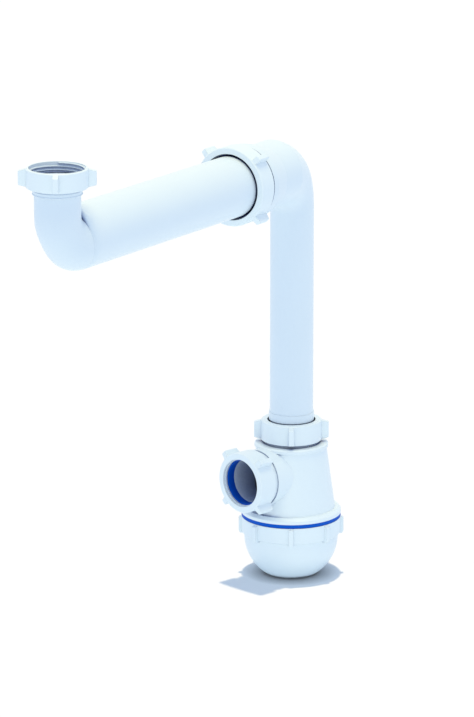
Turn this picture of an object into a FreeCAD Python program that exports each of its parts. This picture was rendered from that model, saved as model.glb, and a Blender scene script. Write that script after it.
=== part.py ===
import FreeCAD, Part
import math
import os

# Space-saving basin trap, millimetres, +Z up.
# The origin is the lower end of the inlet thread, on its axis; the washer lies just under it.
# The arm runs along +X from the inlet neck to the axis of the downpipe.

V = FreeCAD.Vector
X, Y, Z = V(1, 0, 0), V(0, 1, 0), V(0, 0, 1)
full_turn = 360.0

# Where the axes lie
arm_reach = 290.0          # inlet axis to downpipe axis
inlet_drop = 45.0          # origin down to the arm axis
pipe_drop = 195.6          # arm axis down to the top edge of the trap body's socket
outlet_drop = 33.8         # top edge of that socket down to the outlet axis
outlet_reach = 53.0        # downpipe axis to the outer face of the outlet nut
outlet_yaw = -12.0         # outlet turned on the pipe, degrees from the arm's own line
nut_yaw = 45.0             # lugs of the arm nut stand at 45 degrees to the upright

# Clearances
slide_gap = 0.3            # round face to round face on pieces that turn or slide
thread_gap = 0.3           # screw thread, crest to root, as plain cylinders
face_gap = 0.3             # end face to end face of pieces that turn on each other
over = 1.0                 # how far a cutting tool reaches past the face that it opens

# Pipes
pipe_r = 16.0              # outside of the 32 mm neck and downpipe
pipe_wall = 2.0
arm_r = 22.25              # outside of the wide arm
arm_wall = 2.2
bend_sections = 9          # circles that a bend is lofted through

# Inlet: a hand nut captive under the flange of the neck
waste_thread_r = 19.5      # minor radius of the 1 1/4 inch female thread
waste_thread_len = 7.5     # from the origin up to the nut's rim
waste_relief = 0.4         # the nut is this much wider round the washer and the flange
washer_t = 1.5
washer_step = 0.5          # washer's bore outside the neck's bore
flange_t = 2.0
neck_band_h = 4.5          # raised band that keeps the nut up
neck_band_step = 0.9

# Inlet bend, from the neck into the rounded end of the wide arm
inlet_bend_in_r = 2.5      # inside radius
inlet_bend_end_r = 19.4    # outside of the bend where it runs into the arm
inlet_growth = 6.0         # the bend swells late, as this power of the angle's sine
arm_start = 15.5           # inlet axis to the arm's rounded end
arm_round = 4.5            # rounding of that end

# Hand nuts: a ring with four finger lugs
nut_wall = 1.9             # ring outside the thread's crest line
nut_lip_t = 2.0            # inward lip that draws the joint together
nut_edge = 0.7             # chamfer on the outer rims
lug_count = 4
lug_w = 4.0
lug_step = 5.2             # how far a lug stands off the ring
lug_slope = 1.3            # each end of a lug runs in by this much towards its tip
lug_round = 0.8

# Compression joints: slip ring and tapered seal between nut lip and socket mouth
socket_wall = 4.2          # pipe outside to the socket's thread crest
slip_t = 1.5
seal_h = 6.0
seal_wall = 3.0            # thickness of the seal at its outer end
seal_tip = 1.4             # thickness at its inner end
seal_stand = 1.2           # part of the seal that stands out of the socket
joint_thread_len = 13.5    # nut thread on the socket
mouth_clear = 1.8          # nut lip to pipe, all round
slip_clear = 1.1           # slip ring to pipe, all round, so that it passes the stop collar
socket_band_h = 1.5        # plain band between nut and shoulder

# Elbow on the downpipe
elbow_sleeve = 1.75        # wall of the elbow round the arm's end
elbow_wall = 2.4           # wall of the elbow behind it
elbow_bend_in_r = 7.5      # inside radius
elbow_growth = 1.0         # the elbow narrows evenly, as this power of the angle's sine
arm_mouth = 77.0           # downpipe axis to the mouth of the arm socket
socket_len = 32.0          # depth of the arm in that socket
elbow_band = 5.4           # width of the raised ring behind the arm nut
elbow_band_step = 3.4
elbow_run_in = 16.0        # taper from that ring down to the elbow
pipe_collar_h = 6.0        # stop collar on the downpipe above its nut
pipe_collar_step = 0.7
dip_depth = 98.0           # downpipe below the top edge of the trap body

# Trap body
body_wall = 2.2
shoulder_r = 27.3
shoulder_h = 3.0
shoulder_edge = 1.2
shoulder_fall = 1.0        # slope from the shoulder in to the cone
cone_h = 45.5
cone_taper = 6.4           # how much narrower the cone is at its top
rim_r = 37.0               # flange above the blue ring
rim_h = 4.5
rim_bevel = 2.2
rim_step = 4.5             # flange outside the foot of the cone
rim_ledge = 3.1            # flange outside the skirt
skirt_h = 12.0             # male thread that the bowl screws on
skirt_wall = 2.6

# Outlet boss
boss_step = 1.0            # boss outside the socket's thread crest
boss_reach = 34.0          # downpipe axis to the boss's end, where the nut starts
boss_bore_len = 26.0       # straight bore for the waste pipe

# Bowl
bowl_seal_t = 3.0
bowl_seal_inset = 0.2      # blue ring inside the flange's edge
bowl_h = 44.0
bowl_collar_inset = 0.3    # collar inside the flange's edge
bowl_collar_h = 12.5
bowl_collar_edge = 0.8
bowl_collar_step = 2.0     # collar outside the bowl's side
bowl_wall = 2.2
bowl_lower_inset = 5.8     # middle of the side's curve, in from its top
bowl_lower_z = 10.0        # and up from the underside
bowl_base_inset = 16.4     # flat base, in from the side's top
rib_count = 8
rib_w = 3.8
rib_step = 2.2
rib_low_edge = 1.0
rib_top_slope = 1.2        # height over which a rib runs in to the collar
rib_top_gap = 0.4

# Radii, levels and places that follow from the sizes above
neck_in_r = pipe_r - pipe_wall
arm_in_r = arm_r - arm_wall
arm_z = -inlet_drop
joint_x = arm_reach
body_top = arm_z - pipe_drop
socket_r = pipe_r + socket_wall
arm_socket_r = arm_r + socket_wall
seal_in_r = pipe_r + slide_gap
flange_r = waste_thread_r - slide_gap
washer_in_r = neck_in_r + washer_step
washer_top = -face_gap
seat_stack = face_gap + washer_t + flange_t + face_gap
elbow_r = arm_r + slide_gap + elbow_sleeve
boss_r = socket_r + boss_step
outlet_mouth = outlet_reach - (seal_stand + slip_t + nut_lip_t + face_gap)
socket_thread_len = joint_thread_len - seal_stand - slip_t - face_gap
shoulder_top = socket_thread_len + socket_band_h
cone_start = shoulder_top + shoulder_h + shoulder_fall
cone_end = cone_start + cone_h
cone_base_r = rim_r - rim_step
cone_top_r = cone_base_r - cone_taper
skirt_r = rim_r - rim_ledge
skirt_start = cone_end + rim_h
skirt_end = skirt_start + skirt_h
room_top = shoulder_top + shoulder_fall
bowl_collar_r = rim_r - bowl_collar_inset
bowl_side_r = bowl_collar_r - bowl_collar_step
turned_yaw = nut_yaw + outlet_yaw


def revolve(points):
    """Turn a closed profile of (radius, height) points about the Z axis."""
    wire = Part.makePolygon([V(r, 0, z) for r, z in points] + [V(points[0][0], 0, points[0][1])])
    return Part.Face(wire).revolve(V(0, 0, 0), Z, full_turn)


def tube(r_in, r_out, low, high):
    """Plain ring between two heights."""
    return revolve([(r_in, low), (r_out, low), (r_out, high), (r_in, high)])


def rod(radius, low, high):
    """Solid cylinder on Z between two heights."""
    return Part.makeCylinder(radius, high - low, V(0, 0, low))


def fuse(first, *others):
    """One solid from overlapping pieces, with the leftover seams removed."""
    return first.multiFuse(list(others)).removeSplitter()


def place(shape, base, axis, spin=0.0):
    """Stand a piece that was made on +Z on another axis, turned by spin about it."""
    turn = FreeCAD.Rotation(Z, axis).multiply(FreeCAD.Rotation(Z, spin))
    moved = shape.copy()
    moved.Placement = FreeCAD.Placement(base, turn).multiply(shape.Placement)
    return moved


def lug(ring_r, tip_r, low, high):
    """One finger lug: a fin whose ends run in towards its rounded tip."""
    root = ring_r - nut_wall / 2
    side = [V(root, -lug_w / 2, low), V(ring_r, -lug_w / 2, low), V(tip_r, -lug_w / 2, low + lug_slope),
            V(tip_r, -lug_w / 2, high - lug_slope), V(ring_r, -lug_w / 2, high), V(root, -lug_w / 2, high)]
    fin = Part.Face(Part.makePolygon(side + side[:1])).extrude(Y * lug_w)
    tips = [e for e in fin.Edges if min(v.Point.x for v in e.Vertexes) > tip_r - 0.01]
    return fin.makeFillet(lug_round, tips)


def hand_nut(thread_r, thread_len, lip_hole_r, lip_low):
    """Nut on +Z: thread from 0 to thread_len, lip beyond it or, if lip_low, below it."""
    ring_r = thread_r + nut_wall
    low, high = (-nut_lip_t, thread_len) if lip_low else (0.0, thread_len + nut_lip_t)
    ring = revolve([(lip_hole_r, low), (ring_r - nut_edge, low), (ring_r, low + nut_edge),
                    (ring_r, high - nut_edge), (ring_r - nut_edge, high), (lip_hole_r, high)])
    thread = rod(thread_r, 0.0, high + over) if lip_low else rod(thread_r, low - over, thread_len)
    lugs = []
    for i in range(lug_count):
        fin = lug(ring_r, ring_r + lug_step, low + nut_edge, high - nut_edge)
        lugs.append(place(fin, V(0, 0, 0), Z, full_turn * i / lug_count))
    return fuse(ring.cut(thread), *lugs)


def bend(pivot, inside_r, growth, first, last, radii, walls):
    """Quarter bend round a pivot, from one pipe size to the next, as two mirrored halves.

    Every section is a circle that touches the inside radius round the pivot, so the inside of
    the bend stays tight while the outside swells or narrows from the first radius to the last.
    """
    sections = []
    for i in range(bend_sections):
        angle = math.pi / 2 * i / (bend_sections - 1)
        share = math.sin(angle) ** growth
        outside = radii[0] + (radii[1] - radii[0]) * share
        radius = outside - walls[0] - (walls[1] - walls[0]) * share
        outward = first * math.cos(angle) + last * math.sin(angle)
        centre = pivot + outward * (inside_r + outside)
        near, side, far = centre - outward * radius, centre + Y * radius, centre + outward * radius
        sections.append(Part.Wire([Part.Arc(near, side, far).toShape(), Part.makeLine(far, near)]))
    half = Part.makeLoft(sections, True, False)
    return fuse(half, half.mirror(V(0, 0, 0), Y))


def tapered_seal(tube_r):
    """Blue compression seal, top face at 0: straight bore, outside tapering into the socket."""
    in_r = tube_r + slide_gap
    return revolve([(in_r, -seal_h), (in_r + seal_tip, -seal_h),
                    (in_r + seal_wall, -seal_stand), (in_r + seal_wall, 0.0), (in_r, 0.0)])


def make_inlet_nut():
    """Hand nut that draws the basin waste down on the washer; it hangs under the neck's flange."""
    nut = hand_nut(waste_thread_r, waste_thread_len + seat_stack, pipe_r + 2 * slide_gap, True)
    relief = rod(waste_thread_r + waste_relief, 0.0, seat_stack)
    return place(nut.cut(relief), V(0, 0, -seat_stack), Z, turned_yaw)


def make_inlet_washer():
    """Flat washer on the flange: the basin waste sits on its top face."""
    return tube(washer_in_r, flange_r, washer_top - washer_t, washer_top)


def rounded_rod(radius, rounding, low, high):
    """Solid cylinder whose lower end is rounded over."""
    plain = rod(radius, low, high)
    rim = [e for e in plain.Edges if e.BoundBox.ZMax < low + over and e.Length > radius]
    return plain.makeFillet(rounding, rim)


def make_arm():
    """Neck, bend and wide arm, moulded in one piece with a flange and a band under the nut."""
    bend_x = pipe_r + inlet_bend_in_r
    pivot = V(bend_x, 0, arm_z - arm_r + 2 * inlet_bend_end_r + inlet_bend_in_r)
    shape = (pivot, inlet_bend_in_r, inlet_growth, -X, -Z, (pipe_r, inlet_bend_end_r))
    outer = bend(*shape, (0.0, 0.0))
    inner = bend(*shape, (pipe_wall, arm_wall))
    top = washer_top - washer_t
    band_top = -seat_stack - nut_lip_t - face_gap
    neck = rod(pipe_r, pivot.z, top)
    flange = rod(flange_r, top - flange_t, top)
    band = rod(pipe_r + neck_band_step, band_top - neck_band_h, band_top)
    arm_end = joint_x - arm_mouth + socket_len - face_gap
    barrel = rounded_rod(arm_r, arm_round, arm_start, arm_end)
    room = rounded_rod(arm_in_r, arm_round - arm_wall, arm_start + arm_wall, arm_end + over)
    at_arm = V(0, 0, arm_z)
    solid = fuse(outer, neck, flange, band, place(barrel, at_arm, X))
    return solid.cut(inner).cut(rod(neck_in_r, pivot.z, top + over)).cut(place(room, at_arm, X))


def compression_set(tube_r, crest_r, base, axis, spin):
    """Nut, slip ring and seal for a pipe of tube_r in a socket whose mouth is at base."""
    thread_r = crest_r + thread_gap
    nut = hand_nut(thread_r, joint_thread_len, tube_r + mouth_clear, False)
    ring_low = seal_stand + face_gap
    ring = tube(tube_r + slip_clear, crest_r - slide_gap, ring_low, ring_low + slip_t)
    nut_shift = ring_low + slip_t - joint_thread_len
    return (place(nut, base + axis * nut_shift, axis, spin),
            place(ring, base, axis), place(tapered_seal(tube_r), base + axis * seal_stand, axis))


def seal_seat(tube_r, base, axis):
    """Tapered seat cut in a socket's mouth, and the straight bore behind it."""
    low, high = -(seal_h - seal_stand), 0.0
    in_r = tube_r + slide_gap
    seat = revolve([(0, low), (in_r + seal_tip, low), (in_r + seal_wall, high),
                    (in_r + seal_wall, over), (0, over)])
    return place(seat, base, axis)


def make_downpipe():
    """Arm socket, elbow and downpipe in one moulding; its lower end dips into the bowl's water."""
    mouth_x = joint_x - arm_mouth
    pivot = V(joint_x - pipe_r - elbow_bend_in_r, 0, arm_z - elbow_r - elbow_bend_in_r)
    shape = (pivot, elbow_bend_in_r, elbow_growth, Z, X, (elbow_r, pipe_r))
    outer = bend(*shape, (0.0, 0.0))
    inner = bend(*shape, (elbow_wall, pipe_wall))
    axis_at = V(mouth_x, 0, arm_z)
    length = pivot.x - mouth_x
    band_at = socket_thread_len + socket_band_h
    band_r, band_end = elbow_r + elbow_band_step, band_at + elbow_band
    socket = revolve([(0, 0), (arm_socket_r, 0), (arm_socket_r, band_at), (band_r, band_at),
                      (band_r, band_end), (elbow_r, band_end + elbow_run_in), (elbow_r, length), (0, length)])
    pipe_low = body_top - dip_depth
    collar_low = body_top + seal_stand + slip_t + nut_lip_t + 2 * face_gap
    pipe = fuse(rod(pipe_r, pipe_low, pivot.z),
                rod(pipe_r + pipe_collar_step, collar_low, collar_low + pipe_collar_h))
    arm_bore = fuse(rod(arm_r + slide_gap, -over, socket_len), rod(elbow_r - elbow_wall, socket_len, length))
    at_pipe = V(joint_x, 0, 0)
    solid = fuse(outer, place(socket, axis_at, X), place(pipe, at_pipe, Z))
    pipe_bore = rod(neck_in_r, pipe_low - over, pivot.z)
    return solid.cut([inner, place(pipe_bore, at_pipe, Z), place(arm_bore, axis_at, X),
                      seal_seat(arm_r, axis_at, -X)])


def make_trap_body():
    """Conical body on the downpipe's axis: threaded socket, shoulder, cone, flange and skirt."""
    shell = revolve([(0, 0), (socket_r, 0), (socket_r, -shoulder_top),
                     (shoulder_r - shoulder_edge, -shoulder_top), (shoulder_r, -shoulder_top - shoulder_edge),
                     (shoulder_r, -shoulder_top - shoulder_h), (cone_top_r, -cone_start),
                     (cone_base_r, -cone_end), (rim_r - rim_bevel, -cone_end), (rim_r, -cone_end - rim_bevel),
                     (rim_r, -skirt_start), (skirt_r, -skirt_start), (skirt_r, -skirt_end), (0, -skirt_end)])
    room = revolve([(0, -room_top), (cone_top_r - body_wall, -room_top - body_wall),
                    (cone_base_r - body_wall, -cone_end), (skirt_r - skirt_wall, -skirt_start),
                    (skirt_r - skirt_wall, -skirt_end - over), (0, -skirt_end - over)])
    base = V(0, 0, -outlet_drop)
    boss = place(fuse(rod(boss_r, 0, boss_reach), rod(socket_r, 0, outlet_mouth)), base, -X)
    bore = place(rod(seal_in_r, outlet_mouth - boss_bore_len, outlet_mouth + over), base, -X)
    throat = place(rod(neck_in_r, cone_top_r - body_wall, outlet_mouth), base, -X)
    pipe_bore = rod(seal_in_r, -room_top - body_wall, over)
    solid = fuse(shell, boss).cut(room).cut(pipe_bore).cut(throat).cut(bore)
    solid = solid.cut(seal_seat(pipe_r, V(0, 0, 0), Z))
    solid = solid.cut(seal_seat(pipe_r, base - X * outlet_mouth, -X))
    return at_trap(solid)


def make_bowl_seal():
    """Flat blue ring between the body's flange and the bowl's rim."""
    low = -skirt_start - bowl_seal_t + face_gap
    return at_trap(tube(skirt_r + slide_gap, rim_r - bowl_seal_inset, low, -skirt_start))


def bowl_outline(inset):
    """Side and base of the bowl, as a face to revolve: a wide arc to the base, then the flat."""
    side = V(bowl_side_r - inset, 0, bowl_h - bowl_collar_h)
    middle = V(bowl_side_r - bowl_lower_inset - inset, 0, bowl_lower_z + inset / 2)
    base = V(bowl_side_r - bowl_base_inset - inset / 2, 0, inset)
    top_in, top_out = V(0, 0, bowl_h), V(side.x, 0, bowl_h)
    edges = [Part.makeLine(top_in, top_out), Part.makeLine(top_out, side),
             Part.Arc(side, middle, base).toShape(),
             Part.makeLine(base, V(0, 0, inset)), Part.makeLine(V(0, 0, inset), top_in)]
    return Part.Face(Part.Wire(edges)).revolve(V(0, 0, 0), Z, full_turn)


def bowl_rib():
    """One rib of the bowl's collar, on +X."""
    low, tip = bowl_h - bowl_collar_h - over, bowl_collar_r + rib_step
    root, top = bowl_side_r - bowl_wall / 2, bowl_h - rib_top_gap
    side = [V(root, -rib_w / 2, low), V(tip - rib_low_edge, -rib_w / 2, low),
            V(tip, -rib_w / 2, low + 2 * rib_low_edge), V(tip, -rib_w / 2, top - rib_top_slope),
            V(bowl_collar_r, -rib_w / 2, top), V(root, -rib_w / 2, top)]
    return Part.Face(Part.makePolygon(side + side[:1])).extrude(Y * rib_w)


def make_bowl():
    """Screw-on bowl with a ribbed collar for the hand and a flat underside."""
    low = bowl_h - bowl_collar_h
    collar = revolve([(0, low), (bowl_collar_r - bowl_collar_edge, low),
                      (bowl_collar_r, low + bowl_collar_edge), (bowl_collar_r, bowl_h), (0, bowl_h)])
    ribs = [place(bowl_rib(), V(0, 0, 0), Z, full_turn * i / rib_count) for i in range(rib_count)]
    thread = rod(skirt_r + thread_gap, bowl_h - skirt_h + bowl_seal_t - over, bowl_h + over)
    solid = fuse(bowl_outline(0.0), collar, *ribs).cut(fuse(bowl_outline(bowl_wall), thread))
    return at_trap(place(solid, V(0, 0, -skirt_start - bowl_seal_t - bowl_h), Z))


def at_trap(shape):
    """Move a piece made round the trap's own axis to its place under the downpipe."""
    return place(shape, V(joint_x, 0, body_top), Z, outlet_yaw)


def make_parts():
    outward = FreeCAD.Rotation(Z, outlet_yaw).multVec(-X)
    outlet_base = V(joint_x, 0, body_top - outlet_drop) + outward * outlet_mouth
    parts = {"inlet_nut": make_inlet_nut(), "inlet_washer": make_inlet_washer(), "arm": make_arm(),
             "downpipe": make_downpipe(), "trap_body": make_trap_body(),
             "bowl_seal": make_bowl_seal(), "bowl": make_bowl()}
    joints = {"arm": (arm_r, arm_socket_r, V(joint_x - arm_mouth, 0, arm_z), -X, nut_yaw),
              "body": (pipe_r, socket_r, V(joint_x, 0, body_top), Z, turned_yaw),
              "outlet": (pipe_r, socket_r, outlet_base, outward, turned_yaw)}
    for name, joint in joints.items():
        parts[name + "_nut"], parts[name + "_slip_ring"], parts[name + "_seal"] = compression_set(*joint)
    return parts


os.makedirs("parts", exist_ok=True)
for name, shape in make_parts().items():
    if len(shape.Solids) != 1 or not shape.isValid():
        raise RuntimeError(name + " is not one sound solid")
    shape.exportStep(f"parts/{name}.step")
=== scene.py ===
import math

import bmesh
import bpy
from mathutils import Matrix, Vector


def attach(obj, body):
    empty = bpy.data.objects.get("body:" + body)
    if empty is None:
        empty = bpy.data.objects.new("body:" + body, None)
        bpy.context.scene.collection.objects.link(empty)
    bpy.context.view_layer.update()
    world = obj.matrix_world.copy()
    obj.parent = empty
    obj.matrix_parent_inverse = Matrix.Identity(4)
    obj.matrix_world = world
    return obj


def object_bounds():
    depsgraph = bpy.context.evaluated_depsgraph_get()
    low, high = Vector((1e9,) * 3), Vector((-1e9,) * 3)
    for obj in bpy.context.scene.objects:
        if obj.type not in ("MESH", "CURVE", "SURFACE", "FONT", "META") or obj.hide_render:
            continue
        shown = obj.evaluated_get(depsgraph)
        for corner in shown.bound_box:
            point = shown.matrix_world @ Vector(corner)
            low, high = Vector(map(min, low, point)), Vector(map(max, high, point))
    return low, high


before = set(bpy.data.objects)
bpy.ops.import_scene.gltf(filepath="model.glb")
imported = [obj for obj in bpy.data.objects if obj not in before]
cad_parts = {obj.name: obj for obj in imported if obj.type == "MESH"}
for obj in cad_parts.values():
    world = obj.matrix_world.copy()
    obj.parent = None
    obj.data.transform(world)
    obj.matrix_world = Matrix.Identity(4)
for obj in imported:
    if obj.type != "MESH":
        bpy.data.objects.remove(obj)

# The CAD box is kept here; its lowest point sets the floor.
cad_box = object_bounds()

# Camera. The trap is seen from a little above its own height, from the side that the
# outlet faces, with the level arm coming towards the camera on the left.
azimuth, elevation = math.radians(-56.21), math.radians(14.88)
picture_height, focal_pixels = 717, 4500
sensor_size, far_clip = 24.0, 60.0
aim, distance = Vector((0.21772, 0.0, -0.1736)), 3.2514
sight = Vector((-math.sin(azimuth) * math.cos(elevation),
                math.cos(azimuth) * math.cos(elevation),
                -math.sin(elevation)))
camera_data = bpy.data.cameras.new("camera")
camera_data.sensor_fit = "VERTICAL"
camera_data.sensor_height = sensor_size
camera_data.sensor_width = sensor_size
camera_data.lens = focal_pixels / picture_height * sensor_size
camera_data.clip_end = far_clip
camera = bpy.data.objects.new("camera", camera_data)
camera.location = aim - sight * distance
camera.rotation_mode = "QUATERNION"
camera.rotation_quaternion = sight.to_track_quat("-Z", "Y")
bpy.context.scene.collection.objects.link(camera)
bpy.context.scene.camera = camera

# Surroundings. A cool even light from all round, which the upright sides show; the camera and
# the gloss see plain white instead. The lamps come after the floor, because one is linked to it.
scene = bpy.context.scene
scene.view_settings.view_transform = "Standard"


class Shade:
    """A socket of a node tree. Arithmetic adds Math nodes, and node() adds any other node."""

    def __init__(self, tree, socket=None):
        self.tree = tree
        self.socket = socket

    def node(self, kind, settings=None, inputs=None, out=0):
        made = self.tree.nodes.new(kind)
        for name, value in (settings or {}).items():
            setattr(made, name, value)
        for name, value in (inputs or {}).items():
            if isinstance(value, Shade):
                self.tree.links.new(value.socket, made.inputs[name])
            else:
                made.inputs[name].default_value = value
        return None if out is None else Shade(self.tree, made.outputs[out])

    def maths(self, operation, *values):
        return self.node("ShaderNodeMath", {"operation": operation},
                         dict(enumerate((self, *values))))

    def mix(self, factor, at_none, at_full):
        """Blend two colours, each a Shade or a plain red, green and blue."""
        ends = [end if isinstance(end, Shade) else (*end, 1.0) for end in (at_none, at_full)]
        return self.node("ShaderNodeMix", {"data_type": "RGBA"},
                         {0: factor, 6: ends[0], 7: ends[1]}, out=2)

    def __add__(self, other):
        return self.maths("ADD", other)

    def __radd__(self, other):
        return self.maths("ADD", other)

    def __sub__(self, other):
        return self.maths("SUBTRACT", other)

    def __rsub__(self, other):
        return self * -1.0 + other

    def __mul__(self, other):
        return self.maths("MULTIPLY", other)

    def __rmul__(self, other):
        return self.maths("MULTIPLY", other)


def seen_or_mirrored(shade):
    """1 for rays from the camera and for gloss, 0 for the rays that carry light."""
    direct = shade.node("ShaderNodeLightPath", out="Is Camera Ray")
    gloss = shade.node("ShaderNodeLightPath", out="Is Glossy Ray")
    return direct.maths("MAXIMUM", gloss)


cool_light, plain_white = (0.575, 0.70, 0.90, 1.0), (1.0, 1.0, 1.0, 1.0)
world = bpy.data.worlds.new("surroundings")
scene.world = world
world.use_nodes = True
world.node_tree.nodes.clear()
sky = Shade(world.node_tree)
sky_light = sky.node("ShaderNodeBackground", inputs={"Color": cool_light})
sky_seen = sky.node("ShaderNodeBackground", inputs={"Color": plain_white})
sky_mix = sky.node("ShaderNodeMixShader",
                   inputs={0: seen_or_mirrored(sky), 1: sky_light, 2: sky_seen})
sky.node("ShaderNodeOutputWorld", inputs={"Surface": sky_mix}, out=None)


# Floor. A plain pale table that the bowl stands on, so wide that its edge is out of sight. Close
# under the bowl it has a painted contact shadow, and the light it throws up has a tone of its
# own.
def new_finish(name):
    """An empty material and its node tree."""
    material = bpy.data.materials.new(name)
    material.use_nodes = True
    material.node_tree.nodes.clear()
    return material, Shade(material.node_tree)


floor_level, floor_width = cad_box[0].z, 12.0
table_tone, contact_shadow_tone, contact_shadow_reach = (0.75, 0.77, 0.79), (0.20, 0.22, 0.24), 0.012
floor_glow = 0.03
bounce_tone, raised_tone, raised_glow = (0.463, 0.535, 0.59, 1.0), (0.84, 0.96, 0.97, 1.0), 0.34
occlusion_samples = 8
floor_mesh = bpy.data.meshes.new("floor")
sheet_shape = bmesh.new()
bmesh.ops.create_grid(sheet_shape, x_segments=1, y_segments=1, size=floor_width / 2,
                      matrix=Matrix.Translation((aim.x, 0.0, floor_level)))
sheet_shape.to_mesh(floor_mesh)
sheet_shape.free()
floor = bpy.data.objects.new("floor", floor_mesh)
scene.collection.objects.link(floor)
floor_paint, sheet = new_finish("floor_paint")
# Painted contact shadow: the table colour darkens where nearby surfaces occlude it.
openness = sheet.node("ShaderNodeAmbientOcclusion", {"samples": occlusion_samples},
                      {"Distance": contact_shadow_reach}, out="AO")
matt = sheet.node("ShaderNodeBsdfDiffuse",
                  inputs={"Color": sheet.mix(openness, contact_shadow_tone, table_tone)})
glow = sheet.node("ShaderNodeEmission", inputs={"Color": plain_white, "Strength": floor_glow})
lit = sheet.node("ShaderNodeAddShader", inputs={0: matt, 1: glow})
tinted = sheet.node("ShaderNodeBsdfDiffuse", inputs={"Color": bounce_tone})
raised = sheet.node("ShaderNodeEmission", inputs={"Color": raised_tone, "Strength": raised_glow})
bounce = sheet.node("ShaderNodeAddShader", inputs={0: tinted, 1: raised})
floor_mix = sheet.node("ShaderNodeMixShader",
                       inputs={0: seen_or_mirrored(sheet), 1: bounce, 2: lit})
sheet.node("ShaderNodeOutputMaterial", inputs={"Surface": floor_mix}, out=None)
floor_mesh.materials.append(floor_paint)


# Lamps. The floor has one of its own, which only the trap's lower pieces shade: the level arm is
# far above it and leaves no shadow. One from above lights the object and not the floor, and a
# weak wide one from the front lifts the body, the bowl and four of the nuts.
def sun(name, energy, colour, spread, travel):
    """A far lamp whose light travels along this direction; spread is its width in degrees."""
    lamp_data = bpy.data.lights.new(name, "SUN")
    lamp_data.energy, lamp_data.color, lamp_data.angle = energy, colour, math.radians(spread)
    lamp = bpy.data.objects.new(name, lamp_data)
    lamp.rotation_mode = "QUATERNION"
    lamp.rotation_quaternion = Vector(travel).to_track_quat("-Z", "Y")
    scene.collection.objects.link(lamp)
    return lamp


def group(name, nodes):
    """A collection of these nodes, for a lamp to be linked to."""
    made = bpy.data.collections.new(name)
    for node in nodes:
        made.objects.link(bpy.data.objects[node])
    return made


floor_lamp = sun("floor_lamp", energy=2.36, colour=(1.0, 0.80, 0.50), spread=2.5,
                 travel=(-0.071, -0.047, -1.0))
floor_lamp.light_linking.receiver_collection = group("table", ["floor"])
floor_lamp.light_linking.blocker_collection = group(
    "shadow_makers", ["trap_body", "bowl", "bowl_seal", "body_nut", "outlet_nut"])

all_but_table = group("all_but_table", ["floor"])
all_but_table.collection_objects[0].light_linking.link_state = "EXCLUDE"
object_lamp = sun("object_lamp", energy=1.5, colour=(1.0, 0.86, 0.32), spread=40.0,
                  travel=(0.0, 0.0, -1.0))
object_lamp.light_linking.receiver_collection = all_but_table

front_lamp = sun("front_lamp", energy=0.42, colour=(1.0, 0.92, 0.42), spread=40.0,
                 travel=(0.85, 0.45, -0.15))
front_lamp.light_linking.receiver_collection = group(
    "front_lit", ["trap_body", "bowl", "body_nut", "outlet_nut", "inlet_nut", "arm_nut"])

# White mouldings. Arm, downpipe, body, bowl and the four hand nuts are injection moulded in one
# white polypropylene with a half gloss and a slightly cool tone.
white_plastic, white_roughness, white_edge, white_grain = (0.83, 0.905, 0.97), 0.30, 0.0005, 0.05

# Painted shade, as shares of a finish's own colour: at the bottom of a gap or a bore, and a
# cooler tint on the way there.
deep_shade, hollow_shade_tint = (0.035, 0.052, 0.095), (0.32, 0.44, 1.0)


def share(colour, parts):
    """A colour with each of its channels taken by a share."""
    return tuple(channel * part for channel, part in zip(colour, parts))


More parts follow.
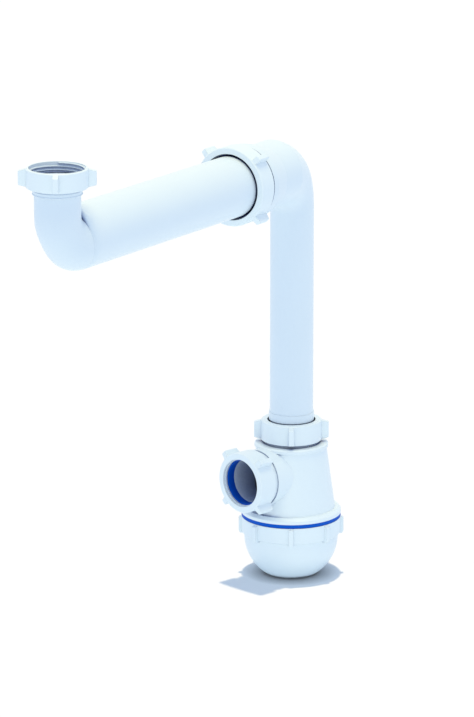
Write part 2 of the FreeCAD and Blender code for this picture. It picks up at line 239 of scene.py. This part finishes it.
def moulded(name, colour, roughness, edge_round, grain, shine=0.5, shaded=1.0, alone=False):
    """Moulded plastic or rubber: slow drift of tone and gloss, a fine skin, soft edges coloured
    a little paler, and painted shade in its gaps and hollows.

    shaded is how strongly the painted shade darkens gaps and hollows, and alone means that
    other pieces do not add painted shade to its hollows.
    """
    drift_scale, skin_scale, noise_detail, skin_height = 22.0, 1400.0, 2.0, 0.0004
    drift_low, edge_pale, edge_gain, edge_share = 0.965, 1.04, 6.0, 0.5
    drift_dulls, edge_dulls = 0.10, 0.08
    crevice_reach, crevice_gain, crevice_cut = 0.008, 3.6, 0.45
    hollow_reach, hollow_gain, hollow_base = 0.045, 2.2, 0.02
    edge_samples = 6

    material, skin = new_finish(name)
    where = skin.node("ShaderNodeTexCoord", out="Object")
    drift = skin.node("ShaderNodeTexNoise", inputs={
        "Vector": where, "Scale": drift_scale, "Detail": noise_detail})
    fine = skin.node("ShaderNodeTexNoise", inputs={
        "Vector": where, "Scale": skin_scale, "Detail": noise_detail})

    soft = skin.node("ShaderNodeBevel", {"samples": edge_samples}, {"Radius": edge_round})
    flat = skin.node("ShaderNodeNewGeometry", out="Normal")
    edge = 1 - skin.node("ShaderNodeVectorMath", {"operation": "DOT_PRODUCT"},
                         {0: soft, 1: flat}, out="Value")
    edge = (edge * edge_gain).maths("MINIMUM", 1.0)
    body = skin.mix(drift, share(colour, [drift_low] * 3), colour)
    # Edges coloured a little paler than the rest of the surface.
    pale = tuple(min(1.0, edge_pale * channel) for channel in colour)
    pale_edged = skin.mix(edge * edge_share, body, pale)

    # Painted shade: gaps and hollows found by ambient occlusion darken the colour, through a
    # cooler tint, towards deep_shade.
    crevice = skin.node("ShaderNodeAmbientOcclusion", {"samples": occlusion_samples},
                        {"Distance": crevice_reach}, out="AO")
    hollow = skin.node("ShaderNodeAmbientOcclusion",
                       {"samples": occlusion_samples, "only_local": alone},
                       {"Distance": hollow_reach}, out="AO")
    out_of_gap = crevice.node("ShaderNodeClamp",
                              inputs={"Value": crevice * crevice_gain - crevice_cut})
    open_air = out_of_gap * (hollow_base + hollow * hollow_gain)
    open_air = open_air.node("ShaderNodeClamp", inputs={"Value": open_air})
    unshaded_share = 1 - (1 - open_air) * shaded
    half_shaded = skin.mix(unshaded_share, share(colour, hollow_shade_tint), pale_edged)
    shaded_paint = skin.mix(unshaded_share, share(colour, deep_shade), half_shaded)

    bumped = skin.node("ShaderNodeBump", inputs={
        "Strength": grain, "Distance": skin_height, "Height": fine, "Normal": soft})
    shell = skin.node("ShaderNodeBsdfPrincipled", inputs={
        "Base Color": shaded_paint, "Specular IOR Level": shine, "Normal": bumped,
        "Roughness": roughness + drift * drift_dulls + edge * edge_dulls})
    skin.node("ShaderNodeOutputMaterial", inputs={"Surface": shell}, out=None)
    return material


def dress(nodes, material):
    """Give CAD nodes their finish."""
    for node in nodes:
        mesh = bpy.data.objects[node].data
        mesh.materials.clear()
        mesh.materials.append(material)


dress(["arm", "downpipe", "trap_body", "inlet_nut", "arm_nut", "body_nut", "outlet_nut"],
      moulded("white_moulding", white_plastic, white_roughness, white_edge, white_grain))
dress(["bowl"], moulded("bowl_moulding", white_plastic, white_roughness, white_edge,
                        white_grain, alone=True))


# Neck beads. Two low rounded rings on the band that keeps the inlet nut up, one under the nut
# and one at the band's lower edge, moulded with the arm. Like the crests of the threads, they
# get a copy of the white with only a quarter of its painted shade, so they stay lighter.
def add_piece(name, shape, material, body):
    """Turn a finished bmesh into a white moulding that moves with a body."""
    bmesh.ops.recalc_face_normals(shape, faces=shape.faces)
    mesh = bpy.data.meshes.new(name)
    shape.to_mesh(mesh)
    shape.free()
    mesh.materials.append(material)
    piece = bpy.data.objects.new(name, mesh)
    scene.collection.objects.link(piece)
    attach(piece, body)
    return piece


crest_edge, crest_painted_shade = 0.0002, 0.25
lightly_shaded_white = moulded("thread_crests", white_plastic, white_roughness, crest_edge, white_grain,
                      shaded=crest_painted_shade)
origin, upright, no_shift = (0.0, 0.0, 0.0), (0.0, 0.0, 1.0), (0.0, 0.0, 0.0)
band_radius, bead_size, bead_steps = 0.0169, 0.00042, 96
bead_levels = (-0.0080, -0.0103)
bead_profile = ((-0.3, -1.1), (0.45, -0.9), (0.9, -0.4), (0.9, 0.4), (0.45, 0.9), (-0.3, 1.1))
beads = bmesh.new()
for level in bead_levels:
    corners = [beads.verts.new((band_radius + across * bead_size, 0.0, level + rise * bead_size))
               for across, rise in bead_profile]
    rim = [beads.edges.new(pair) for pair in zip(corners, corners[1:] + corners[:1])]
    bmesh.ops.spin(beads, geom=corners + rim, cent=origin, axis=upright, dvec=no_shift,
                   angle=math.tau, steps=bead_steps, use_merge=True, use_duplicate=False)
add_piece("neck_beads", beads, lightly_shaded_white, "arm").data.shade_smooth()

# Slip rings. Thin harder rings that let a nut turn on its seal without dragging it.
dress(["arm_slip_ring", "body_slip_ring", "outlet_slip_ring"],
      moulded("slip_ring", (0.80, 0.85, 0.90), roughness=0.42, edge_round=0.0003, grain=0.04))

# Seals. Three tapered rings and the flat ring under the body, of one strong blue rubber.
dress(["arm_seal", "body_seal", "outlet_seal", "bowl_seal"],
      moulded("seal_rubber", (0.0, 0.100, 0.60), roughness=0.50, edge_round=0.0004, grain=0.10,
              shine=0.15))

# Inlet washer. A flat pale ring on the neck's flange, punched from soft sheet.
dress(["inlet_washer"],
      moulded("washer", (0.74, 0.82, 0.97), roughness=0.55, edge_round=0.0003, grain=0.12))

# Screw threads. Low ridges moulded on the sockets and the skirt, and inside the nuts and the
# bowl half a pitch further on, so that the two sets mesh and stay in step as a nut is turned.
turn_steps = 64
root_depth = 0.00006
foot_share, crest_share = 0.50, 0.20


def screw_turns(name, body, base, axis, wall, reach, low, high, pitch):
    """A ridge wound along an axis, from low to high.

    reach is its height outwards from a round wall, or inwards if it is below 0.
    """
    foot, crest = foot_share * pitch, crest_share * pitch
    root, tip = wall - math.copysign(root_depth, reach), wall + reach
    winding = bmesh.new()
    corners = [winding.verts.new((radius, 0.0, low + rise)) for radius, rise in
               ((root, -foot / 2), (tip, -crest / 2), (tip, crest / 2), (root, foot / 2))]
    section = winding.faces.new(corners)
    steps = round((high - low) / pitch * turn_steps)
    bmesh.ops.spin(winding, geom=[section, *section.edges, *corners], cent=origin, axis=upright,
                   dvec=(0.0, 0.0, pitch / turn_steps), angle=math.tau * steps / turn_steps,
                   steps=steps, use_duplicate=False)
    stand = Matrix.Translation(base) @ axis.to_track_quat("Z", "Y").to_matrix().to_4x4()
    bmesh.ops.transform(winding, matrix=stand, verts=winding.verts)
    add_piece(name, winding, lightly_shaded_white, body)


up, down = Vector((0.0, 0.0, 1.0)), Vector((0.0, 0.0, -1.0))
thread_gap = 0.0003
joint_pitch, joint_ridge = 0.002309, 0.00022
inlet_wall, inlet_ridge, inlet_low, inlet_high = 0.0195, 0.00095, 0.0006, 0.0066
screw_turns("inlet_thread", "inlet_nut", Vector(origin), up, inlet_wall, -inlet_ridge,
            inlet_low, inlet_high, joint_pitch)

arm_level, arm_socket_mouth, arm_wall, pipe_wall = -0.045, 0.213, 0.02645, 0.0202
trap_top = Vector((0.290, 0.0, -0.2406))
outlet_drop, outlet_reach, outlet_yaw = 0.0338, 0.048, math.radians(-12.0)
outlet_way = Vector((-math.cos(outlet_yaw), -math.sin(outlet_yaw), 0.0))
outlet_mouth = trap_top + down * outlet_drop + outlet_way * outlet_reach
inner_end, socket_end = -0.0095, -0.0009
for joint, body, mouth, way, wall in (
        ("arm", "downpipe", Vector((arm_socket_mouth, 0.0, arm_level)),
         Vector((-1.0, 0.0, 0.0)), arm_wall),
        ("body", "trap", trap_top, up, pipe_wall),
        ("outlet", "trap", outlet_mouth, outlet_way, pipe_wall)):
    screw_turns(joint + "_socket_thread", body, mouth, way, wall, joint_ridge,
                inner_end, socket_end, joint_pitch)
    screw_turns(joint + "_nut_thread", joint + "_nut", mouth, way, wall + thread_gap,
                -joint_ridge, inner_end + joint_pitch / 2, 0.0, joint_pitch)

skirt_top = trap_top + down * 0.066
skirt_wall, bowl_pitch, bowl_ridge = 0.0339, 0.004, 0.00022
skirt_low, skirt_high, bowl_high = 0.0044, 0.0108, 0.0118
screw_turns("skirt_thread", "trap", skirt_top, down, skirt_wall, bowl_ridge,
            skirt_low, skirt_high, bowl_pitch)
screw_turns("bowl_thread", "bowl", skirt_top, down, skirt_wall + thread_gap, -bowl_ridge,
            skirt_low + bowl_pitch / 2, bowl_high, bowl_pitch)
